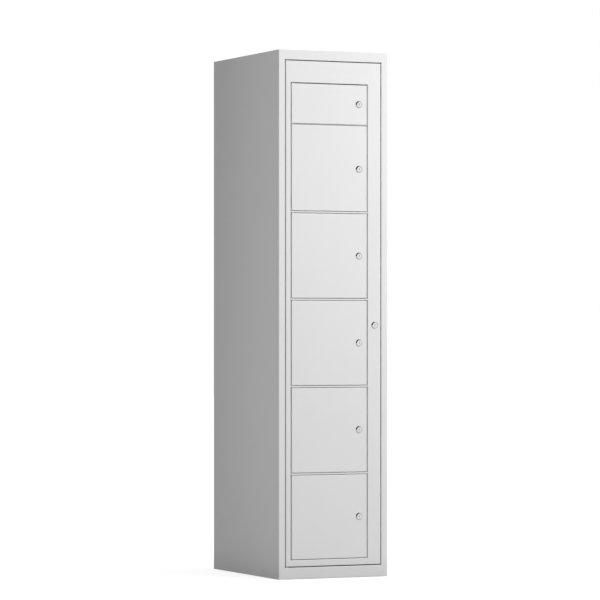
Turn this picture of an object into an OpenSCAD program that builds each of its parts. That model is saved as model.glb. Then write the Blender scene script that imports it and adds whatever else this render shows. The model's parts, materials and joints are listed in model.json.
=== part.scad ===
// Clothing dispensing locker: a steel cabinet, a service door over its whole front,
// and one short and several tall compartment doors set into that service door.
// The origin is on the floor under the middle of the cabinet, and the front faces -Y.

/* [Cabinet] */
// Overall height
height = 1850; // [1500:10:2100]
// Overall width
width = 420; // [360:5:600]
// Overall depth
depth = 585; // [400:5:700]
// Thickness of the cabinet's sheet
sheet = 1; // [0.8:0.1:1.5]
// Inside radius of every wide fold
fold_r = 1.5; // [1:0.25:2]
// Visible width of each front stile
stile_w = 24; // [20:1:36]
// Visible height of the top rail
top_rail_h = 34; // [26:1:60]
// Visible height of the base rail
base_rail_h = 41; // [26:1:80]
// Depth of the folds behind the front stiles
frame_d = 26; // [25:1:32]
// Height of the lip behind each rail
rail_lip = 12; // [8:1:18]
// Depth of the folded edges of the trays, shelves and floor
tray_d = 20; // [12:1:30]
// Depth of the folded edges of the back panel
back_d = 15; // [10:1:25]
// Space between the front frame's folds and the shelves
shelf_setback = 8; // [8:1:20]

/* [Service door] */
// Gap round every door
gap = 3; // [2.5:0.25:4]
// Thickness of the doors' sheet
door_sheet = 1; // [0.8:0.1:1.3]
// Visible width of the hinge stile
hinge_stile_w = 19; // [18:1:24]
// Visible width of the lock stile
lock_stile_w = 50; // [49:1:70]
// Visible height of the door's top rail
door_top_h = 76; // [30:1:120]
// Visible height of the door's bottom rail
door_base_h = 23; // [21:1:60]
// Depth of the folds round the door and its aperture
door_d = 20; // [18:0.5:21]
// Visible height of the crossbars between tall doors
bar_h = 5.5; // [4:0.5:12]
// Gap above and under each crossbar, and under the lowest door
bar_gap = 1.5; // [1.25:0.25:3]
// Inside radius of the crossbars' folds
bar_fold_r = 0.5; // [0.3:0.1:0.8]
// Thickness of the divider under the short door
divider_t = 1.2; // [0.8:0.1:1.5]
// Gap above and under the divider
divider_gap = 1.3; // [1.1:0.1:2]
// Height of the divider's downward fold
divider_drop = 12; // [8:1:20]
// Distance of the divider's front edge behind the doors' faces
divider_set = 1.5; // [1:0.25:2]

/* [Compartment doors] */
// Number of tall doors
tall_count = 5; // [3:1:6]
// Height of the short door
short_h = 140; // [110:1:200]
// Extra height of the uppermost tall door
first_extra = 4; // [0:0.5:12]
// Height by which the lowest door is shorter at its lower edge
last_less = 3; // [0:0.5:12]
// Depth of the doors' folded edges
leaf_d = 16; // [14:0.5:17]

/* [Door stops] */
// Overlap of a stop strip behind a compartment door's edge
stop_lap = 5; // [3:0.5:8]
// Overlap of the cabinet's stop strip behind the service door's edge
main_stop_lap = 2; // [1:0.25:2]
// Distance of the stop strips' ends from their doors' ends
stop_end = 20; // [15:1:40]

/* [Hinges] */
// Distance of the pivots from a door's hinge edge
pivot_in = 5; // [4.5:0.25:6]
// Depth of the compartment doors' pivots behind the front
leaf_pivot_d = 4.5; // [4.25:0.25:5]
// Diameter of the compartment doors' hinge pins
leaf_pin_d = 4; // [3:0.25:4.25]
// Depth of the service door's pivots behind the front
main_pivot_d = 5.5; // [5.25:0.25:5.75]
// Diameter of the service door's hinge pins
main_pin_d = 5; // [4:0.25:5]
// Radial clearance of a hinge pin in its pivot block
pin_play = 0.08; // [0.05:0.01:0.1]
// Length of a compartment door's pin inside the door
leaf_pin_reach = 12; // [8:1:14]
// Length of the service door's pin inside the door
main_pin_reach = 13; // [8:1:14]
// Width of a compartment door's pivot block
leaf_block_w = 12; // [10:1:16]
// Depth of a compartment door's pivot block
leaf_block_d = 12; // [9:0.5:12]
// Depth of the service door's pivot blocks
main_block_d = 15; // [10:0.5:16]

/* [Locks] */
// Diameter of a lock's round face
bezel_d = 25; // [24:0.5:28]
// Thickness of a lock's face
bezel_t = 4; // [3.7:0.1:5]
// Width of the slope round a lock's face
bezel_edge = 3.5; // [1.5:0.1:3.7]
// Diameter of a lock's barrel
barrel_d = 19; // [18:0.5:20]
// Distance between the barrel's two flats
barrel_flats = 16.4; // [15:0.1:17.5]
// Diameter of the plug that the key turns
plug_d = 13; // [12:0.25:13.5]
// Diameter of the plug's face
plug_head_d = 16; // [15:0.25:17.5]
// Thickness of the plug's face
plug_head_t = 1.2; // [1:0.1:1.4]
// Depth of the plug's face behind the lock's face
plug_recess = 0.5; // [0.3:0.1:0.8]
// Width of the key slot
key_slot_w = 2; // [1.5:0.1:2.5]
// Height of the key slot
key_slot_h = 8; // [6:0.5:9]
// Depth of the key slot
key_slot_d = 9; // [6:0.5:10]
// Width across the plug's square drive
drive_w = 5.5; // [5:0.1:5.5]
// Width across the flats of the clamping nut
nut_af = 24; // [22:0.5:27]
// Thickness of the clamping nut
nut_t = 4; // [3:0.5:6]
// Diameter of the screw that holds a cam
screw_d = 3; // [2.5:0.25:3.25]
// Diameter of that screw's head
screw_head_d = 10; // [8:0.5:12]
// Thickness of that screw's head
screw_head_t = 2.4; // [1.8:0.1:3]
// Length of thread inside the plug
screw_grip = 5; // [3:0.5:6]
// Distance of a compartment lock from the door's free edge
lock_inset = 31; // [24:1:45]
// Height of the lock above a tall door's lower edge
tall_lock_h = 149; // [80:1:200]
// Height of the lock above the short door's lower edge
short_lock_h = 72; // [60:1:85]
// Overlap of a locked cam behind the service door's frame
cam_catch = 8; // [6:0.5:8.5]
// Width of a cam
cam_w = 16; // [14:0.5:20]
// Thickness of a cam, drive disc or latch arm
cam_t = 2.5; // [2:0.25:3]

/* [Three-point lock] */
// Distance of the lock from the service door's free edge
main_lock_inset = 23; // [22.5:0.25:23.5]
// Height of the lock above the service door's lower edge
main_lock_h = 844; // [820:1:870]
// Distance of the crank pins from the lock's axis
crank_r = 13; // [12.5:0.25:13.5]
// Diameter of the crank pins
crank_pin_d = 4.6; // [4:0.1:5]
// Width of the drive disc's rim outside the crank pins
disc_rim = 2; // [1.5:0.25:2.5]
// Diameter of the hub between the drive disc and the latch arm
hub_d = 8; // [7:0.25:8]
// Width of a rod
rod_w = 10; // [8:0.5:10.5]
// Thickness of a rod
rod_t = 3; // [2.5:0.25:3.5]
// Metal left round the slot in a rod's head
head_rim = 2; // [1.5:0.1:2.2]
// Height of the metal above and below that slot
head_web = 3.5; // [2.5:0.25:5]
// Distance of a withdrawn rod's tip inside the door's end
rod_tip = 3; // [2:0.25:4]
// Overlap of the locked latch arm behind the cabinet's stile
arm_catch = 12; // [8:1:16]
// Height of a rod guide
guide_h = 10; // [6:1:14]
// Wall of a rod guide beside the rod
guide_wall = 3.4; // [2:0.2:3.6]
// Wall of a rod guide behind the rod
guide_back = 2; // [1.5:0.25:2.5]
// Distance of the upper rod's nearest guide from the lock's axis
guide_near = 60; // [45:1:90]
// Distance of the lower rod's nearest guide from the lock's axis
guide_near_low = 112; // [108:1:125]
// Distance of the last guides from the door's ends
guide_end = 60; // [50:1:80]

/* [Fixings] */
// Diameter of the wall-fixing holes in the back panel
wall_hole_d = 9; // [6:0.5:12]
// Distance of the wall-fixing holes from the cabinet's sides
wall_hole_in = 60; // [40:1:100]
// Distance of the wall-fixing holes from the cabinet's ends
wall_hole_end = 110; // [80:1:150]
// Diameter of the floor-fixing holes in the base tray
floor_hole_d = 11; // [8:0.5:14]
// Distance of the floor-fixing holes from the base tray's edges
floor_hole_in = 45; // [35:1:80]

/* [Hidden] */
$fn = 64;
// Clearances: pressed or screwed together, seated, moving beside, and passing
press = 0.05;
seat = 0.2;
run = 0.3;
past = 1;

// The service door and its aperture, from the cabinet's lower left front corner
main_x = stile_w + gap;
main_z = base_rail_h + gap;
main_w = width - 2 * main_x;
main_h = height - top_rail_h - gap - main_z;
ap_x = main_x + hinge_stile_w;
ap_w = main_w - hinge_stile_w - lock_stile_w;
ap_z = main_z + door_base_h;
ap_h = main_h - door_base_h - door_top_h;

// The compartment doors, counted from the top
door_count = tall_count + 1;
leaf_x = ap_x + gap;
leaf_w = ap_w - 2 * gap;
short_z = ap_z + ap_h - gap - short_h;
bar_step = bar_h + 2 * bar_gap;
low_z = ap_z + bar_gap;
first_top = short_z - 2 * divider_gap - divider_t;
tall_h = (first_top - first_extra + last_less - low_z - (tall_count - 1) * bar_step) / tall_count;
function leaf_z(k) = k == 1 ? short_z
    : k == door_count ? low_z : low_z - last_less + (door_count - k) * (tall_h + bar_step);
function leaf_h(k) = k == 1 ? short_h
    : tall_h + (k == 2 ? first_extra : 0) - (k == door_count ? last_less : 0);
function leaf_top(k) = leaf_z(k) + leaf_h(k);
function lock_z(k) = leaf_z(k) + (k == 1 ? short_lock_h : tall_lock_h)
    - (k == door_count ? last_less : 0);
// Top of what lies under each door: the divider, a crossbar or the aperture's edge
function sill_z(k) = leaf_z(k) - (k == 1 ? divider_gap : bar_gap);

// Pivots
leaf_pivot_x = leaf_x + pivot_in;
main_pivot_x = main_x + pivot_in;
collar_wall = 1.8;
pin_end = 2;
block_end = 2;

// Locks
lock_x = leaf_x + leaf_w - lock_inset;
cam_l = lock_inset + gap + cam_catch;
cam_seat = door_d + past;
main_lock_x = main_x + main_w - main_lock_inset;
main_lock_z = main_z + main_lock_h;
arm_l = main_lock_inset + gap + arm_catch;
arm_seat = frame_d + past;

// Three-point lock: the crank pins start 45 degrees under and over the lock's axis
rod_front = door_d + past / 2;
crank_seat = rod_front - past - cam_t;
crank_low = crank_r * cos(45);
rod_off = (crank_low + crank_r) / 2;
// Half the play that a rod's slot needs, because the rod's steady travel stands in for a sine
crank_slip = 0.03 * crank_r;
slot_h = crank_pin_d + 2 * (crank_slip + run);
slot_in = crank_low - crank_pin_d / 2 - run;
slot_out = crank_r + crank_pin_d / 2 + run;
disc_d = 2 * crank_r + crank_pin_d + 2 * disc_rim;
head_h = slot_h + 2 * head_web;

// Rails, trays and shelves: the locked rods stand right behind the rails
rail_d = rod_front - past / 2 - sheet;
tray_w = width - 2 * sheet;
tray_lap = 20;
shelf_y = frame_d + shelf_setback;

paint = [0.85, 0.86, 0.86];
nickel = [0.76, 0.76, 0.74];
zinc = [0.62, 0.64, 0.66];
nylon = [0.16, 0.16, 0.17];

LEAVES = [for (k = [1 : door_count]) k];
SHELVES = [for (k = [1 : door_count - 1]) k];
BARS = [for (k = [2 : door_count - 1]) k];

// Moves a shape to a place measured from the cabinet's lower left front corner
module place(x = 0, y = 0, z = 0) {
    translate([x - width / 2, y - depth / 2, z]) children();
}

// Stands a lock's shapes on their axis: local Z runs to the back and local Y runs down
module on_axis(x, z) {
    place(x, 0, z) rotate([-90, 0, 0]) children();
}

// Extrudes an outline drawn in depth and height along the cabinet's width
module across(w) {
    rotate([90, 0, 90]) linear_extrude(w) children();
}

// Outline of a box seen from above, with its two front corners rounded
module round_front(w, d, r) {
    translate([0, r]) square([w, d - r]);
    translate([r, 0]) square([w - 2 * r, d]);
    for (x = [r, w - r])
        translate([x, r]) circle(r);
}

// Outline of an aperture seen from above, opened out at the front by two rounded edges
module flared_front(w, d, r) {
    translate([0, -past]) square([w, d + 2 * past]);
    for (x = [-r, w])
        difference() {
            translate([x, -past]) square([r, r + past]);
            translate([x < 0 ? -r : w + r, r]) circle(r);
        }
}

// Two outlines, one seen from above and one from the side, crossed into one solid
module crossed(w, h, margin) {
    intersection() {
        translate([0, 0, -margin]) linear_extrude(h + 2 * margin) children(0);
        translate([w + margin, 0, 0]) rotate([0, -90, 0]) linear_extrude(w + 2 * margin) children(1);
    }
}

// Box with its four front edges rounded
module rounded_box(w, h, d, r) {
    crossed(w, h, 0) {
        round_front(w, d, r);
        round_front(h, d, r);
    }
}

// Aperture with its four front edges rounded, to be cut out of a sheet
module aperture(w, h, d, r) {
    crossed(w, h, r) {
        flared_front(w, d, r);
        flared_front(h, d, r);
    }
}

// Sheet with four folded edges, open at the back
module pan(w, h, d, t) {
    difference() {
        rounded_box(w, h, d, fold_r + t);
        translate([t, t, t]) rounded_box(w - 2 * t, h - 2 * t, d, fold_r);
    }
}

// Folded sheet seen end on: flats joined by quarter-turn folds to the left
module folded_strip(flats, t, i = 0) {
    translate([0, -t]) square([flats[i], t]);
    if (i < len(flats) - 1)
        translate([flats[i], fold_r]) {
            intersection() {
                difference() {
                    circle(fold_r + t);
                    circle(fold_r);
                }
                translate([0, -fold_r - t]) square(fold_r + t);
            }
            translate([fold_r, 0]) rotate(90) folded_strip(flats, t, i + 1);
        }
}

// Side panel whose front edge is folded into a stile, and ends flat beside each rail
module side_panel() {
    bend = fold_r + sheet;
    flat = [depth - bend, stile_w - bend];
    folded = [depth - bend, stile_w - 2 * bend, frame_d - bend];
    rail_z = height - top_rail_h;
    for (zone = [[0, base_rail_h, flat], [base_rail_h, rail_z, folded], [rail_z, height, flat]])
        place(sheet, depth, zone[0]) linear_extrude(zone[1] - zone[0]) rotate(-90)
            folded_strip(zone[2], sheet);
}

module left_side() {
    color(paint) side_panel();
}

// Angle strip that a door closes against, its leg welded to the frame at its right-hand edge
module stop_strip(w, d, h, t) {
    cube([w, t, h]);
    translate([w - t, 0, 0]) cube([t, d, h]);
}

// Right side panel, with the service door's stop strip inside its stile
module right_side() {
    w = gap + main_stop_lap;
    color(paint) {
        mirror([1, 0, 0]) side_panel();
        place(width - stile_w - w, door_d + run, main_z + stop_end)
            stop_strip(w, frame_d - door_d - past, main_h - 2 * stop_end, sheet);
    }
}

// Folded rail across the cabinet's front, with the hole for the service door's hinge pin
module rail(rail_h) {
    bend = fold_r + sheet;
    color(paint) difference() {
        place(stile_w, rail_d, rail_h - sheet) across(width - 2 * stile_w) rotate(180)
            folded_strip([rail_d - bend, rail_h - 2 * bend, rail_d - 2 * bend, rail_lip - bend], sheet);
        place(main_pivot_x, main_pivot_d, rail_h - sheet - past)
            cylinder(h = sheet + 2 * past, d = main_pin_d + 2 * press);
    }
}

module top_rail() {
    translate([0, 0, height]) mirror([0, 0, 1]) rail(top_rail_h);
}

module base_rail() {
    rail(base_rail_h);
}

// Tongue of an end tray that closes the end of the left stile
module stile_cap() {
    edge = sheet + seat;
    w = stile_w - edge;
    d = rail_d + tray_lap - edge;
    place(edge, edge) linear_extrude(sheet) {
        round_front(w, d, fold_r);
        translate([fold_r, 0]) square([w - fold_r, d]);
    }
}

// Tray that closes the cabinet's end behind the rail
module end_tray() {
    place(sheet, depth, 0) rotate([90, 0, 0]) pan(tray_w, depth - rail_d, tray_d, sheet);
    stile_cap();
    mirror([1, 0, 0]) stile_cap();
}

module base_tray() {
    color(paint) difference() {
        end_tray();
        for (x = [floor_hole_in, width - floor_hole_in], y = [rail_d + floor_hole_in, depth - floor_hole_in])
            place(x, y, -past) cylinder(h = sheet + 2 * past, d = floor_hole_d);
    }
}

module top_tray() {
    color(paint) translate([0, 0, height]) mirror([0, 0, 1]) end_tray();
}

module back_panel() {
    color(paint) difference() {
        place(sheet, depth - back_d, tray_d) pan(tray_w, height - 2 * tray_d, back_d, sheet);
        for (x = [wall_hole_in, width - wall_hole_in], z = [wall_hole_end, height - wall_hole_end])
            place(x, depth - back_d - past, z) rotate([-90, 0, 0])
                cylinder(h = sheet + 2 * past, d = wall_hole_d);
    }
}

// Shelf under a compartment: a tray with its folded edges down
module shelf(k) {
    color(paint) place(sheet, shelf_y, sill_z(k)) rotate([-90, 0, 0])
        pan(tray_w, depth - back_d - shelf_y, tray_d, sheet);
}

// Hinge pin pressed into a sill, with a collar in the gap that carries the door
module hinge_pin(d, z0, z1, collar_z, collar_h) {
    translate([0, 0, z0]) cylinder(h = z1 - z0, d = d);
    translate([0, 0, collar_z]) cylinder(h = collar_h, d = d + 2 * collar_wall);
}

module main_pins() {
    top = main_z + main_h;
    color(zinc) place(main_pivot_x, main_pivot_d) {
        hinge_pin(main_pin_d, base_rail_h - sheet - pin_end, main_z + main_pin_reach,
            base_rail_h, gap - seat);
        hinge_pin(main_pin_d, top - main_pin_reach, top + gap + sheet + pin_end,
            top + seat, gap - seat);
    }
}

// Service door's sheet, folded round the door's edge and round the aperture
module main_door_sheet() {
    t = door_sheet;
    difference() {
        rounded_box(main_w, main_h, door_d, fold_r + t);
        translate([hinge_stile_w, 0, door_base_h]) aperture(ap_w, ap_h, door_d, fold_r + t);
        difference() {
            translate([t, t, t]) rounded_box(main_w - 2 * t, main_h - 2 * t, door_d, fold_r);
            translate([hinge_stile_w - t, t, door_base_h - t])
                aperture(ap_w + 2 * t, ap_h + 2 * t, door_d, fold_r);
        }
    }
}

module main_door() {
    color(paint) difference() {
        place(main_x, 0, main_z) main_door_sheet();
        for (z = [main_z, main_z + main_h])
            place(main_pivot_x, main_pivot_d, z - 2 * past)
                cylinder(h = 4 * past, d = main_pin_d + 2 * run);
        for (z = [ap_z, ap_z + ap_h])
            place(leaf_pivot_x, leaf_pivot_d, z - 2 * past)
                cylinder(h = 4 * past, d = leaf_pin_d + 2 * press);
        on_axis(main_lock_x, main_lock_z) translate([0, 0, -past])
            linear_extrude(door_sheet + 2 * past) barrel_outline(seat / 2);
    }
}

// Stop strips of the compartment doors, inside the aperture's lock side
module door_stops() {
    w = gap + stop_lap;
    color(paint) for (k = LEAVES)
        place(ap_x + ap_w - w, leaf_d + run, leaf_z(k) + stop_end)
            stop_strip(w, door_d - leaf_d - run, leaf_h(k) - 2 * stop_end, door_sheet);
}

// Thin folded plate whose front edge shows in the line under the short door
module divider() {
    bend = fold_r + divider_t;
    color(paint) difference() {
        place(ap_x, door_d, sill_z(1) - divider_drop) across(ap_w) rotate(90)
            folded_strip([divider_drop - bend, door_d - fold_r - divider_set], divider_t);
        place(leaf_pivot_x, leaf_pivot_d, sill_z(1) - divider_t - past)
            cylinder(h = divider_t + 2 * past, d = leaf_pin_d + 2 * press);
    }
}

// Crossbar under a tall door: a narrow channel, open at the back
module crossbar(k) {
    t = door_sheet;
    color(paint) difference() {
        place(ap_x + ap_w, 0, sill_z(k) - bar_h) rotate([0, -90, 0]) linear_extrude(ap_w)
            difference() {
                round_front(bar_h, door_d, bar_fold_r + t);
                translate([t, t]) round_front(bar_h - 2 * t, door_d, bar_fold_r);
            }
        place(leaf_pivot_x, leaf_pivot_d, sill_z(k) - bar_h - past)
            cylinder(h = bar_h + 2 * past, d = leaf_pin_d + 2 * press);
    }
}

module door_pins() {
    top = leaf_top(1);
    color(zinc) place(leaf_pivot_x, leaf_pivot_d) {
        for (k = LEAVES) {
            z0 = k < door_count ? leaf_top(k + 1) - leaf_pin_reach : ap_z - door_sheet - pin_end;
            hinge_pin(leaf_pin_d, z0, leaf_z(k) + leaf_pin_reach, sill_z(k), leaf_z(k) - seat - sill_z(k));
        }
        hinge_pin(leaf_pin_d, top - leaf_pin_reach, top + gap + door_sheet + pin_end,
            top + seat, gap - seat);
    }
}

// Pivot block for a door's lower corner, from the door's lower left front corner
module pivot_block(w, d, h, pin_d, pivot_d) {
    inset = door_sheet + seat;
    difference() {
        translate([inset, inset, inset]) rounded_box(w, h, d, fold_r);
        translate([pivot_in, pivot_d, 0]) cylinder(h = h + inset + past, d = pin_d + 2 * pin_play);
    }
}

// A door's two pivot blocks, the upper one mirrored from the lower
module block_pair(door_h) {
    children();
    translate([0, 0, door_h]) mirror([0, 0, 1]) children();
}

module main_blocks() {
    w = hinge_stile_w - 2 * (door_sheet + seat);
    color(nylon) place(main_x, 0, main_z) block_pair(main_h)
        pivot_block(w, main_block_d, main_pin_reach + block_end, main_pin_d, main_pivot_d);
}

module blocks(k) {
    color(nylon) place(leaf_x, 0, leaf_z(k)) block_pair(leaf_h(k))
        pivot_block(leaf_block_w, leaf_block_d, leaf_pin_reach + block_end, leaf_pin_d, leaf_pivot_d);
}

// Compartment door: a pan with holes for its lock and its hinge pins
module leaf(k) {
    color(paint) difference() {
        place(leaf_x, 0, leaf_z(k)) pan(leaf_w, leaf_h(k), leaf_d, door_sheet);
        for (z = [leaf_z(k), leaf_top(k)])
            place(leaf_pivot_x, leaf_pivot_d, z - 2 * past)
                cylinder(h = 4 * past, d = leaf_pin_d + 2 * run);
        on_axis(lock_x, lock_z(k)) translate([0, 0, -past])
            linear_extrude(door_sheet + 2 * past) barrel_outline(seat / 2);
    }
}

// Outline of a lock's barrel, round with two flats, grown by a clearance
module barrel_outline(grow) {
    intersection() {
        circle(d = barrel_d + 2 * grow);
        square([barrel_d + 2 * grow, barrel_flats + 2 * grow], center = true);
    }
}

// Lock housing of a given depth, with its clamping nut behind the sheet
module lock_housing(l) {
    difference() {
        union() {
            translate([0, 0, -bezel_t])
                cylinder(h = bezel_edge, d1 = bezel_d - 2 * bezel_edge, d2 = bezel_d);
            translate([0, 0, bezel_edge - bezel_t]) cylinder(h = bezel_t - bezel_edge, d = bezel_d);
            linear_extrude(l) barrel_outline(0);
        }
        translate([0, 0, -bezel_t - past]) cylinder(h = l + bezel_t + 2 * past, d = plug_d + 2 * press);
        translate([0, 0, -bezel_t - past])
            cylinder(h = past + plug_recess + plug_head_t + press, d = plug_head_d + 2 * press);
    }
    translate([0, 0, door_sheet]) difference() {
        cylinder(h = nut_t, d = nut_af / cos(30), $fn = 6);
        translate([0, 0, -past]) cylinder(h = nut_t + 2 * past, d = barrel_d + 2 * press);
    }
}

// Plug with its key slot in front and its square drive behind
module plug(l) {
    drive_l = run + cam_t - seat;
    difference() {
        union() {
            translate([0, 0, plug_recess - bezel_t]) {
                cylinder(h = plug_head_t, d = plug_head_d);
                cylinder(h = l + bezel_t - plug_recess, d = plug_d);
            }
            translate([-drive_w / 2, -drive_w / 2, l - past]) cube([drive_w, drive_w, drive_l + past]);
        }
        translate([-key_slot_w / 2, -key_slot_h / 2, -bezel_t - past])
            cube([key_slot_w, key_slot_h, key_slot_d + past]);
        translate([0, 0, l - screw_grip]) cylinder(h = screw_grip + drive_l + past, d = screw_d + 2 * press);
    }
}

// Flat lever that points down from the axis, round about the axis
module lever(reach) {
    tip = cam_w / 5;
    linear_extrude(cam_t) difference() {
        union() {
            circle(d = cam_w);
            translate([-cam_w / 2, 0]) square([cam_w, reach]);
        }
        for (side = [-1, 1])
            translate([side * cam_w / 2, reach]) rotate(45) square(tip * sqrt(2), center = true);
    }
}

// Screw whose head sits on a cam's back
module cam_screw(l, stack) {
    translate([0, 0, l - screw_grip + seat]) cylinder(h = screw_grip - seat + stack + press, d = screw_d);
    translate([0, 0, l + stack + press]) cylinder(h = screw_head_t, d = screw_head_d);
}

// Square hole for the plug's drive, down to a given depth
module drive_hole(depth_in) {
    w = drive_w + 2 * press;
    translate([-w / 2, -w / 2, -past]) cube([w, w, depth_in + past]);
}

module cam(k) {
    l = cam_seat - run;
    color(zinc) on_axis(lock_x, lock_z(k)) {
        translate([0, 0, cam_seat]) difference() {
            lever(cam_l);
            drive_hole(cam_t + past);
        }
        cam_screw(l, run + cam_t);
    }
}

// Drive disc with two crank pins, and a hub whose square end carries the latch arm
module main_crank() {
    shoulder = arm_seat - seat - crank_seat;
    color(zinc) on_axis(main_lock_x, main_lock_z) translate([0, 0, crank_seat]) difference() {
        union() {
            cylinder(h = cam_t, d = disc_d);
            cylinder(h = shoulder, d = hub_d);
            translate([-drive_w / 2, -drive_w / 2, shoulder - past]) cube([drive_w, drive_w, cam_t + past]);
            for (side = [-1, 1])
                translate([side * crank_low, side * crank_low, 0])
                    cylinder(h = cam_t + past + rod_t + run, d = crank_pin_d);
        }
        drive_hole(cam_t);
        cylinder(h = shoulder + cam_t + past, d = screw_d + 2 * press);
    }
}

// Latch arm on the hub's square end, with the screw that holds it and the drive disc
module main_arm() {
    l = crank_seat - run;
    color(zinc) on_axis(main_lock_x, main_lock_z) {
        translate([0, 0, arm_seat]) difference() {
            lever(arm_l);
            drive_hole(cam_t + past);
        }
        cam_screw(l, arm_seat + cam_t - l);
    }
}

// Rod whose slotted head takes a crank pin; side is 1 for the upper rod and -1 for the lower
module rod(side, tip_z) {
    pin_z = main_lock_z - side * crank_low;
    low = min(pin_z, tip_z);
    color(zinc) difference() {
        union() {
            place(main_lock_x + side * rod_off - rod_w / 2, rod_front, low)
                cube([rod_w, rod_t, abs(tip_z - pin_z)]);
            place(main_lock_x + side * (slot_in + slot_out) / 2, rod_front + rod_t / 2, pin_z)
                cube([slot_out - slot_in + 2 * head_rim, rod_t, head_h], center = true);
        }
        place(main_lock_x + side * (slot_in + slot_out) / 2, rod_front + rod_t / 2, pin_z)
            cube([slot_out - slot_in, rod_t + 2 * past, slot_h], center = true);
    }
}

module upper_rod() {
    rod(1, main_z + main_h - rod_tip);
}

module lower_rod() {
    rod(-1, main_z + rod_tip);
}

// Guide that a rod slides through, standing on the lock stile's inner face
module rod_guide(x, z) {
    w = rod_w + 2 * (run + guide_wall);
    d = rod_front + rod_t + run + guide_back - door_sheet;
    place(x, door_sheet, z) difference() {
        translate([-w / 2, 0, -guide_h / 2]) cube([w, d, guide_h]);
        translate([-rod_w / 2 - run, rod_front - door_sheet - run, -guide_h])
            cube([rod_w + 2 * run, rod_t + 2 * run, 2 * guide_h]);
    }
}

module rod_guides() {
    high = [main_lock_z + guide_near, main_z + main_h - guide_end];
    low = [main_lock_z - guide_near_low, main_z + guide_end];
    color(nylon) {
        for (z = [high[0], (high[0] + high[1]) / 2, high[1]])
            rod_guide(main_lock_x + rod_off, z);
        for (z = [low[0], (low[0] + low[1]) / 2, low[1]])
            rod_guide(main_lock_x - rod_off, z);
    }
}

module main_lock() {
    color(nickel) on_axis(main_lock_x, main_lock_z) lock_housing(crank_seat - run);
}

module main_plug() {
    color(nickel) on_axis(main_lock_x, main_lock_z) plug(crank_seat - run);
}

module lock(k) {
    color(nickel) on_axis(lock_x, lock_z(k)) lock_housing(cam_seat - run);
}

module lock_plug(k) {
    color(nickel) on_axis(lock_x, lock_z(k)) plug(cam_seat - run);
}

left_side();
right_side();
top_rail();
base_rail();
top_tray();
base_tray();
back_panel();
shelf(door_count);  // floor_panel
for (k = SHELVES) shelf(k);
main_pins();
main_door();
divider();
for (k = BARS) crossbar(k);
door_stops();
door_pins();
main_blocks();
rod_guides();
main_lock();
main_plug();
main_crank();
main_arm();
upper_rod();
lower_rod();
for (k = LEAVES) {
    leaf(k);
    blocks(k);
    lock(k);
    lock_plug(k);
    cam(k);
}
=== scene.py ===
"""Looks, light and camera of the clothing dispensing locker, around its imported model.

Lengths are in metres, noise scales in cycles a metre, lamp powers in watts, and greys are
sRGB levels from 0 to 255. Ranges are (low, high).
"""

import json
import math

import bpy
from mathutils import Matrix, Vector


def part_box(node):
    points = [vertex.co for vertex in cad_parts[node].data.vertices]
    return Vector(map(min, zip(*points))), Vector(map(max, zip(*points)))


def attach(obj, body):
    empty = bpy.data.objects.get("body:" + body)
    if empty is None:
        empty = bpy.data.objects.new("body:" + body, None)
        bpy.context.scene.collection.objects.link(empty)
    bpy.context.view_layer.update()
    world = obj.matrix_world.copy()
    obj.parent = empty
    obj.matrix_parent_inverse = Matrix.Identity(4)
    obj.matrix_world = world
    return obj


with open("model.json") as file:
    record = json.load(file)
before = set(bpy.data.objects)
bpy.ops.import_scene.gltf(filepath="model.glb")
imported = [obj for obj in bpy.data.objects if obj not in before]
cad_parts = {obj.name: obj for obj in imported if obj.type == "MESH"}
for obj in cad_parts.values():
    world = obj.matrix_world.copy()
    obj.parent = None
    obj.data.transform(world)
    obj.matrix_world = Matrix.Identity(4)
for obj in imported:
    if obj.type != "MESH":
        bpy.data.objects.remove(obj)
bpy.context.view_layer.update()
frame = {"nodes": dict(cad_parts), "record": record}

# The photograph's geometry, measured on its 600 pixel frame
PHOTO_PX = 600.0
FOCAL_PX = 3264.0
HORIZON_PX = 331.7
NEAR_EDGE_PX = 278.85
NEAR_EDGE_TOP_PX = 49.3
NEAR_EDGE_FOOT_PX = 579.9
FRONT_TURN_DEG = 24.28
SENSOR_MM = 36.0
VIEW_END = 100.0

# Noises: the range that their values mostly stay within, and their detail by what they make
NOISE_RANGE = (0.3, 0.7)
CLOUD_DETAIL = 2.0
RELIEF_DETAIL = 3.0
SCRATCH_DETAIL = 4.0

# Powder coat: unevenness of its colour and gloss, and its orange peel
PAINT_GREY = 222
PAINT_CLOUDS = 5.0
PAINT_DARK = 0.985
PAINT_LIGHT = 1.015
PAINT_GLOSS_CLOUDS = 14.0
PAINT_ROUGHNESS = (0.38, 0.46)
PAINT_SPECULAR = 0.35
PEEL_SCALE = 420.0
PEEL_STRENGTH = 0.25
PEEL_DEPTH = 0.0004

# Painted shade near the floor: how high above the floor it reaches, and the share of the paint's
# level at the floor
PAINTED_SHADE_HEIGHT = 0.09
PAINTED_SHADE_SHARE = 0.91

# Zinc plate: blotches from dark to bluish, and marks drawn out along the height
ZINC_GREY = 180
ZINC_ROUGHNESS = 0.35
ZINC_BLOTCHES = 160.0
ZINC_DARK = (0.92, 0.92, 0.92)
ZINC_LIGHT = (1.0, 1.02, 1.05)
ZINC_GLOSS_GRAIN = 900.0
ZINC_GLOSS_SHARES = (0.8, 1.25)
SCRATCH_SCALE = 1500.0
SCRATCH_STRETCH = (1.0, 1.0, 0.15)
SCRATCH_STRENGTH = 0.2
SCRATCH_DEPTH = 0.0002
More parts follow.
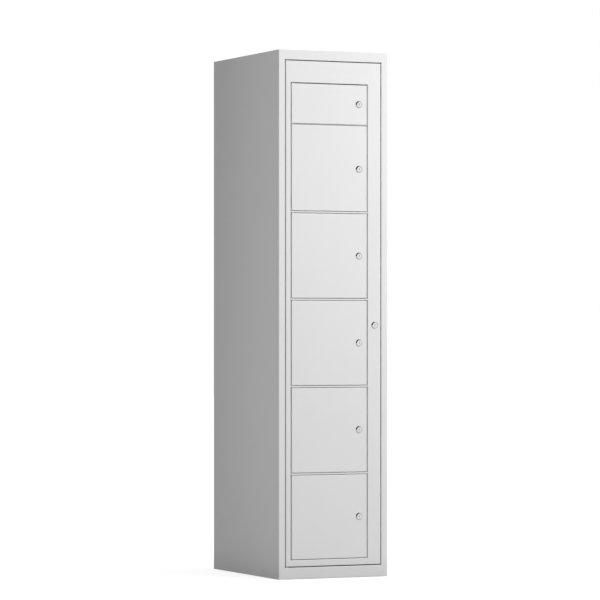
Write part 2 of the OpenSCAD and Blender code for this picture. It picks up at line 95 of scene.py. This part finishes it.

# Nickel plate of the locks: turned rings on the face, and painted shade on the slope outside its
# radius
NICKEL_GREY = 234
NICKEL_ROUGHNESS = 0.12
NICKEL_CLOUDS = 300.0
NICKEL_DARK = (0.95, 0.95, 0.94)
NICKEL_LIGHT = (1.03, 1.02, 1.0)
NICKEL_GLOSS_GRAIN = 1200.0
NICKEL_GLOSS_SHARES = (0.8, 1.2)
RING_SCALE = 3500.0
RING_STRENGTH = 0.15
RING_DEPTH = 0.0002
LOCK_FACE_R = 0.009
PLUG_FACE_R = 0.0075
SLOPE_START = 0.0008
SLOPE_PAINTED_SHADE = 0.68

# Moulded nylon of the pivot blocks and rod guides
NYLON_GREY = 45
NYLON_CLOUDS = 60.0
NYLON_DARK = 0.8
NYLON_LIGHT = 1.2
NYLON_GLOSS_GRAIN = 300.0
NYLON_ROUGHNESS = (0.45, 0.6)
NYLON_GRAIN = 2500.0
NYLON_GRAIN_STRENGTH = 0.25
NYLON_GRAIN_DEPTH = 0.0002

# Floor: its colour under the lamps, and the white that it shows at the locker and further off
FLOOR_HALF = 30.0
FLOOR_TONE = 0.29
FLOOR_ROUGHNESS = 0.9
FLOOR_SPECULAR = 0.1
FLOOR_GLOW = 0.8
FLOOR_GLOW_REACH = (0.5, 1.6)
FLOOR_MIRRORED = 0.6

# World: where its light comes from, for surfaces and in their reflections, and how it falls off
BRIGHT_SIDE = (0.8, -0.45, 0.05)
AMBIENT_SPAN = (-0.9, 0.9)
AMBIENT = (0.325, 0.92)
MIRROR_SIDE = (0.75, -0.6, -0.3)
MIRROR_SPAN = (-0.2, 0.5)
MIRRORED = (0.03, 1.0)

# Soft boxes: name, place, point that they shine at, width, height, power
LAMPS = (
    ("key", (1.6, -2.7, 2.3), (0.0, -0.3, 1.1), 1.3, 1.3, 69.0),
    ("edge", (-1.0, -0.37, 1.2), (-0.2, -0.25, 1.15), 0.2, 2.4, 2.6),
    ("back", (0.9, 3.0, 1.6), (0.0, 0.3, 0.95), 1.2, 1.6, 28.0),
)

# Spot welds on the back panel: (radius, lift) from the rim inwards, and their rows
SHEET = 0.001
WELD_SIDES = 20
WELD_PROFILE = (
    (0.0042, -0.0003),
    (0.0038, 0.0002),
    (0.0032, 0.00045),
    (0.0025, 0.0003),
    (0.0014, 0.00008),
)
WELD_IN = 0.04
WELDS_ACROSS = 5
WELDS_UP = 13

# Screw tops: (radius, lift) from the rim inwards, and the cross recess that narrows to its floor
SCREW_PROFILE = (
    (0.0046, -0.0001),
    (0.0046, 0.0002),
    (0.0043, 0.0005),
    (0.0036, 0.00078),
    (0.0029, 0.00092),
)
RECESS_REACH = 0.0024
RECESS_HALF_WIDTH = 0.0006
RECESS_RIM_RISE = 0.00003
RECESS_FLOOR = 0.0001
RECESS_FLOOR_REACH = 0.85
RECESS_FLOOR_WIDTH = 0.8
RECESS_STEPS = 3

RIGHT, BACK, UP = Vector((1, 0, 0)), Vector((0, 1, 0)), Vector((0, 0, 1))
WHITE = (1.0, 1.0, 1.0, 1.0)
# Middle of a piece in its generated coordinates, which run from 0 to 1 along each axis
MIDDLE = (0.5, 0.5, 0.5)


def colour(grey):
    """A neutral sRGB grey level from 0 to 255, as a linear value."""
    s = grey / 255.0
    return s / 12.92 if s <= 0.04045 else ((s + 0.055) / 1.055) ** 2.4


def neutral(level):
    """A grey colour of one linear level."""
    return (level, level, level)


def shade(level, shares):
    """A colour whose channels are shares of one linear level."""
    return tuple(level * share for share in shares)


def add_camera():
    """Level camera at the photograph's distance and angle, shifted to its framing."""
    low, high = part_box("left_side")
    near = Vector((low.x, low.y, 0.0))
    metres_per_px = (high.z - low.z) / (NEAR_EDGE_FOOT_PX - NEAR_EDGE_TOP_PX)
    turn = math.radians(FRONT_TURN_DEG)
    ahead = Vector((math.sin(turn), math.cos(turn), 0.0))
    right = Vector((math.cos(turn), -math.sin(turn), 0.0))
    place = near - ahead * FOCAL_PX * metres_per_px
    place -= right * (NEAR_EDGE_PX - PHOTO_PX / 2) * metres_per_px
    place.z = (NEAR_EDGE_FOOT_PX - HORIZON_PX) * metres_per_px
    data = bpy.data.cameras.new("camera")
    data.sensor_width = SENSOR_MM
    data.lens = FOCAL_PX / PHOTO_PX * SENSOR_MM
    data.shift_y = (HORIZON_PX - PHOTO_PX / 2) / PHOTO_PX
    data.clip_end = VIEW_END
    camera = bpy.data.objects.new("camera", data)
    camera.location = place
    camera.rotation_euler = (math.radians(90.0), 0.0, -turn)
    bpy.context.scene.collection.objects.link(camera)
    bpy.context.scene.camera = camera


class Nodes:
    """A node tree, with short calls to add nodes and join them."""

    def __init__(self, tree):
        self.tree = tree

    def add(self, kind, **values):
        node = self.tree.nodes.new(kind)
        for key, value in values.items():
            setattr(node, key, value)
        return node

    def join(self, source, target):
        self.tree.links.new(source, target)

    def coordinates(self, kind):
        """Texture coordinates of one kind, such as a piece's own in metres, Object."""
        return self.add("ShaderNodeTexCoord").outputs[kind]

    def scalar(self, operation, first, second):
        """Result of an operation on two values, each a number or a socket."""
        node = self.add("ShaderNodeMath", operation=operation)
        for source, target in zip((first, second), node.inputs):
            if isinstance(source, float):
                target.default_value = source
            else:
                self.join(source, target)
        return node.outputs["Value"]

    def vector(self, operation, source, constant=None):
        """Node of a vector operation on a socket and, where it takes two vectors, a constant."""
        node = self.add("ShaderNodeVectorMath", operation=operation)
        self.join(source, node.inputs[0])
        if constant is not None:
            node.inputs[1].default_value = constant
        return node

    def map_range(self, source, source_range, result_range, **values):
        """Maps a value onto a range, evenly unless the values say otherwise."""
        node = self.add("ShaderNodeMapRange", **values)
        node.inputs["From Min"].default_value, node.inputs["From Max"].default_value = source_range
        node.inputs["To Min"].default_value, node.inputs["To Max"].default_value = result_range
        self.join(source, node.inputs["Value"])
        return node.outputs["Result"]

    def ramp(self, source, source_range, result_range):
        """Maps a value onto a range, smoothly and held at both ends."""
        return self.map_range(source, source_range, result_range, interpolation_type="SMOOTHSTEP")

    def mix(self, kind, factor, first, second):
        """Blends two numbers or colours, or the results of other blends, by a factor."""
        node = self.add("ShaderNodeMix", data_type=kind)
        for source, name in ((first, "A"), (second, "B")):
            if isinstance(source, tuple):
                node.inputs[name].default_value = (*source, 1.0)
            elif isinstance(source, float):
                node.inputs[name].default_value = source
            else:
                self.join(source, node.inputs[name])
        self.join(factor, node.inputs["Factor"])
        return node.outputs["Result"]


class Finish(Nodes):
    """A material and its nodes."""

    def __init__(self, name):
        self.material = bpy.data.materials.new(name)
        self.material.use_nodes = True
        super().__init__(self.material.node_tree)
        self.shader = self.tree.nodes["Principled BSDF"]

    def noise(self, scale, detail=CLOUD_DETAIL, stretch=None):
        """Noise over the piece's own coordinates."""
        place = self.coordinates("Object")
        if stretch:
            mapping = self.add("ShaderNodeMapping")
            mapping.inputs["Scale"].default_value = stretch
            self.join(place, mapping.inputs["Vector"])
            place = mapping.outputs["Vector"]
        noise = self.add("ShaderNodeTexNoise")
        noise.inputs["Scale"].default_value = scale
        noise.inputs["Detail"].default_value = detail
        self.join(place, noise.inputs["Vector"])
        return noise.outputs["Fac"]

    def tint(self, factor, first, second):
        """Blends two colours."""
        return self.mix("RGBA", factor, first, second)

    def paint(self, result):
        self.join(result, self.shader.inputs["Base Color"])

    def roughen(self, noise_scale, roughness):
        """Roughness that a noise varies over a range."""
        result = self.map_range(self.noise(noise_scale), NOISE_RANGE, roughness)
        self.join(result, self.shader.inputs["Roughness"])

    def bump(self, height, strength, distance):
        node = self.add("ShaderNodeBump")
        node.inputs["Strength"].default_value = strength
        node.inputs["Distance"].default_value = distance
        self.join(height, node.inputs["Height"])
        self.join(node.outputs["Normal"], self.shader.inputs["Normal"])


def powder_coat(name):
    """Satin powder coat: faint orange peel, a little unevenness, and painted shade darker towards
    the floor.
    """
    m = Finish(name)
    level = colour(PAINT_GREY)
    dark, light = neutral(level * PAINT_DARK), neutral(level * PAINT_LIGHT)
    unshaded = m.tint(m.noise(PAINT_CLOUDS), dark, light)
    # Painted shade: the paint turns darker over the lowest few centimetres above the floor
    place = m.add("ShaderNodeSeparateXYZ")
    m.join(m.coordinates("Object"), place.inputs["Vector"])
    above_floor = m.ramp(place.outputs["Z"], (0.0, PAINTED_SHADE_HEIGHT), (0.0, 1.0))
    m.paint(m.tint(above_floor, neutral(level * PAINTED_SHADE_SHARE), unshaded))
    m.roughen(PAINT_GLOSS_CLOUDS, PAINT_ROUGHNESS)
    m.shader.inputs["Specular IOR Level"].default_value = PAINT_SPECULAR
    m.bump(m.noise(PEEL_SCALE, detail=RELIEF_DETAIL), PEEL_STRENGTH, PEEL_DEPTH)
    return m.material


def zinc_plate(name):
    """Zinc-plated steel: blotchy brightness and fine drawn marks."""
    m = Finish(name)
    m.shader.inputs["Metallic"].default_value = 1.0
    level = colour(ZINC_GREY)
    m.paint(m.tint(m.noise(ZINC_BLOTCHES), shade(level, ZINC_DARK), shade(level, ZINC_LIGHT)))
    m.roughen(ZINC_GLOSS_GRAIN, [ZINC_ROUGHNESS * share for share in ZINC_GLOSS_SHARES])
    scratches = m.noise(SCRATCH_SCALE, detail=SCRATCH_DETAIL, stretch=SCRATCH_STRETCH)
    m.bump(scratches, SCRATCH_STRENGTH, SCRATCH_DEPTH)
    return m.material


def turned_nickel(name, piece, face_r):
    """Nickel plate with the fine rings of a turned face about each lock's axis, and painted shade
    on its slope.

    All locks are as wide as the named piece, and their axes run through their boxes' middles.
    """
    m = Finish(name)
    m.shader.inputs["Metallic"].default_value = 1.0
    level = colour(NICKEL_GREY)
    low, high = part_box(piece)
    centred = m.vector("SUBTRACT", m.coordinates("Generated"), MIDDLE)
    across = (high.x - low.x, 0.0, high.z - low.z)
    flat = m.vector("MULTIPLY", centred.outputs["Vector"], across)
    radius = m.vector("LENGTH", flat.outputs["Vector"]).outputs["Value"]
    rings = m.add("ShaderNodeTexNoise", noise_dimensions="1D")
    rings.inputs["Scale"].default_value = RING_SCALE
    rings.inputs["Detail"].default_value = RELIEF_DETAIL
    m.join(radius, rings.inputs["W"])
    face = m.tint(m.noise(NICKEL_CLOUDS), shade(level, NICKEL_DARK), shade(level, NICKEL_LIGHT))
    # Painted shade: the slope outside the face's radius is darker than the face
    slope = m.ramp(radius, (face_r, face_r + SLOPE_START), (0.0, 1.0))
    m.paint(m.tint(slope, face, neutral(level * SLOPE_PAINTED_SHADE)))
    m.roughen(NICKEL_GLOSS_GRAIN, [NICKEL_ROUGHNESS * share for share in NICKEL_GLOSS_SHARES])
    m.bump(rings.outputs["Fac"], RING_STRENGTH, RING_DEPTH)
    return m.material


def moulded_nylon(name):
    """Moulded nylon with a fine matt grain."""
    m = Finish(name)
    level = colour(NYLON_GREY)
    dark, light = neutral(level * NYLON_DARK), neutral(level * NYLON_LIGHT)
    m.paint(m.tint(m.noise(NYLON_CLOUDS), dark, light))
    m.roughen(NYLON_GLOSS_GRAIN, NYLON_ROUGHNESS)
    m.bump(m.noise(NYLON_GRAIN), NYLON_GRAIN_STRENGTH, NYLON_GRAIN_DEPTH)
    return m.material


def floor_material():
    """White floor, lit and shadowed at the locker, and pure white in view further off.

    Reflections and clear materials show it too, reflections dimmer.
    """
    m = Finish("studio_floor")
    m.shader.inputs["Base Color"].default_value = (*neutral(FLOOR_TONE), 1.0)
    m.shader.inputs["Roughness"].default_value = FLOOR_ROUGHNESS
    m.shader.inputs["Specular IOR Level"].default_value = FLOOR_SPECULAR
    distance = m.vector("LENGTH", m.coordinates("Object")).outputs["Value"]
    white = m.ramp(distance, FLOOR_GLOW_REACH, (FLOOR_GLOW, 1.0))
    rays = m.add("ShaderNodeLightPath").outputs
    mirrored = m.scalar("MULTIPLY", rays["Is Glossy Ray"], FLOOR_MIRRORED)
    seen = m.scalar("MAXIMUM", rays["Is Camera Ray"], mirrored)
    seen = m.scalar("MAXIMUM", seen, rays["Is Transmission Ray"])
    m.shader.inputs["Emission Color"].default_value = WHITE
    m.join(m.scalar("MULTIPLY", white, seen), m.shader.inputs["Emission Strength"])
    return m.material


def add_floor():
    mesh = bpy.data.meshes.new("floor")
    corners = [(x * FLOOR_HALF, y * FLOOR_HALF, 0) for x, y in ((-1, -1), (1, -1), (1, 1), (-1, 1))]
    mesh.from_pydata(corners, [], [(0, 1, 2, 3)])
    mesh.materials.append(floor_material())
    floor = bpy.data.objects.new("floor", mesh)
    bpy.context.scene.collection.objects.link(floor)


def add_world():
    """White to the camera; to surfaces, bright at the right and dim at the left.

    Their reflections show a stronger fall from right to left.
    """
    world = bpy.data.worlds.new("studio")
    world.use_nodes = True
    w = Nodes(world.node_tree)
    background = w.tree.nodes["Background"]
    background.inputs["Color"].default_value = WHITE

    def towards(side):
        place = w.coordinates("Generated")
        return w.vector("DOT_PRODUCT", place, Vector(side).normalized()).outputs["Value"]

    soft = w.ramp(towards(BRIGHT_SIDE), AMBIENT_SPAN, AMBIENT)
    mirrored = w.ramp(towards(MIRROR_SIDE), MIRROR_SPAN, MIRRORED)
    rays = w.add("ShaderNodeLightPath").outputs
    strength = w.mix("FLOAT", rays["Is Glossy Ray"], soft, mirrored)
    clear = w.scalar("MAXIMUM", rays["Is Camera Ray"], rays["Is Transmission Ray"])
    strength = w.mix("FLOAT", clear, strength, 1.0)
    w.join(strength, background.inputs["Strength"])
    bpy.context.scene.world = world


def add_lamp(name, place, target, width, height, power):
    """Soft box that shines from one place towards another, out of view and of reflections."""
    data = bpy.data.lights.new(name, "AREA")
    data.shape = "RECTANGLE"
    data.size = width
    data.size_y = height
    data.energy = power
    lamp = bpy.data.objects.new(name, data)
    lamp.location = place
    lamp.rotation_euler = (Vector(target) - Vector(place)).to_track_quat("-Z", "Y").to_euler()
    lamp.visible_camera = False
    lamp.visible_glossy = False
    bpy.context.scene.collection.objects.link(lamp)


def dress_nodes():
    """Gives every solid of the model its slot's finish; a plug has its rings about its own face."""
    slots = {row["node"]: row["material_slot"] for row in frame["record"]["subparts"]}
    for name, node in frame["nodes"].items():
        node.data.materials.clear()
        node.data.materials.append(PLUG_MATERIAL if "plug" in name else SLOT_MATERIALS[slots[name]])


def spaced(start, end, count):
    """Evenly spaced values from a start to an end."""
    return [start + (end - start) * i / (count - 1) for i in range(count)]


def circle(radius, angles):
    return [(radius * math.cos(angle), radius * math.sin(angle)) for angle in angles]


def cross(reach, half_width):
    """Outline of a cross-shaped recess, each of its straight edges divided into steps."""
    quarter = [
        (reach, 0.0),
        (reach, half_width),
        (half_width, half_width),
        (half_width, reach),
    ]
    corners = []
    for _ in range(4):
        corners += quarter
        quarter = [(-v, u) for u, v in quarter]
    outline = []
    for (u0, v0), (u1, v1) in zip(corners, corners[1:] + corners[:1]):
        for i in range(RECESS_STEPS):
            outline.append((u0 + (u1 - u0) * i / RECESS_STEPS, v0 + (v1 - v0) * i / RECESS_STEPS))
    return outline


def skin(place, out, along, rings):
    """Points and faces over rings of (outline, lift) about a place, closed in the middle."""
    side = out.cross(along)
    points = [
        place + along * u + side * v + out * lift
        for outline, lift in rings
        for u, v in outline
    ]
    count = len(rings[-1][0])
    middle = len(points)
    points.append(place + out * rings[-1][1])
    faces = []
    for start in range(0, middle, count):
        inner = start + count
        for i in range(count):
            j = (i + 1) % count
            if inner < middle:
                faces.append((start + i, start + j, inner + j, inner + i))
            else:
                faces.append((start + i, start + j, middle))
    return points, faces


def add_piece(name, skins, body, slot):
    """One object from several skins, which moves with a body and has a slot's finish."""
    points, faces = [], []
    for skin_points, skin_faces in skins:
        faces += [tuple(len(points) + i for i in face) for face in skin_faces]
        points += skin_points
    mesh = bpy.data.meshes.new(name)
    mesh.from_pydata(points, [], faces)
    mesh.materials.append(SLOT_MATERIALS[slot])
    piece = bpy.data.objects.new(name, mesh)
    bpy.context.scene.collection.objects.link(piece)
    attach(piece, body)
    return piece


def add_weld_marks():
    """Spot welds of the back panel: along each shelf's rear fold and along both side panels."""
    low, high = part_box("back_panel")
    angles = spaced(0.0, 2.0 * math.pi, WELD_SIDES + 1)[:-1]
    rings = [(circle(radius, angles), lift) for radius, lift in WELD_PROFILE]
    skins = []
    for name in frame["nodes"]:
        if name.startswith("shelf_") or name == "floor_panel":
            under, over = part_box(name)
            for x in spaced(low.x + WELD_IN, high.x - WELD_IN, WELDS_ACROSS):
                place = Vector((x, low.y + SHEET, (under.z + over.z) / 2))
                skins.append(skin(place, BACK, UP, rings))
    middle = (low.y + high.y) / 2
    for z in spaced(low.z + WELD_IN, high.z - WELD_IN, WELDS_UP):
        skins.append(skin(Vector((low.x + SHEET, middle, z)), RIGHT, UP, rings))
        skins.append(skin(Vector((high.x - SHEET, middle, z)), -RIGHT, UP, rings))
    piece = add_piece("back_weld_marks", skins, "cabinet", "cabinet_paint")
    piece.data.polygons.foreach_set("use_smooth", [True] * len(piece.data.polygons))


def add_screw_tops():
    """Domed tops with a cross recess on the flat screw heads of the cams and of the latch arm."""
    bodies = frame["record"]["behaviour"]["bodies"]
    cams = sorted(name for name in frame["nodes"] if name.startswith("cam_"))
    levers = {cam: cam.replace("cam_", "plug_") for cam in cams}
    levers["main_arm"] = "main_plug"
    recess = cross(RECESS_REACH, RECESS_HALF_WIDTH)
    recess_floor = cross(RECESS_REACH * RECESS_FLOOR_REACH, RECESS_HALF_WIDTH * RECESS_FLOOR_WIDTH)
    angles = [math.atan2(v, u) for u, v in recess]
    rings = [(circle(radius, angles), lift) for radius, lift in SCREW_PROFILE]
    rings.append((recess, SCREW_PROFILE[-1][1] + RECESS_RIM_RISE))
    rings.append((recess_floor, RECESS_FLOOR))
    for lever, plug in levers.items():
        low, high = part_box(plug)
        place = (low + high) / 2
        place.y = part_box(lever)[1].y
        body = next(name for name, nodes in bodies.items() if lever in nodes)
        add_piece(f"screw_top_{lever}", [skin(place, BACK, UP, rings)], body, "zinc")


SLOT_MATERIALS = {
    "cabinet_paint": powder_coat("cabinet_paint"),
    "door_paint": powder_coat("door_paint"),
    "nickel": turned_nickel("nickel", "lock_1", LOCK_FACE_R),
    "zinc": zinc_plate("zinc"),
    "nylon": moulded_nylon("nylon"),
}
PLUG_MATERIAL = turned_nickel("nickel_plug", "plug_1", PLUG_FACE_R)

add_camera()
add_world()
add_floor()
for lamp in LAMPS:
    add_lamp(*lamp)
dress_nodes()
add_weld_marks()
add_screw_tops()

bpy.context.scene.view_settings.view_transform = "Standard"
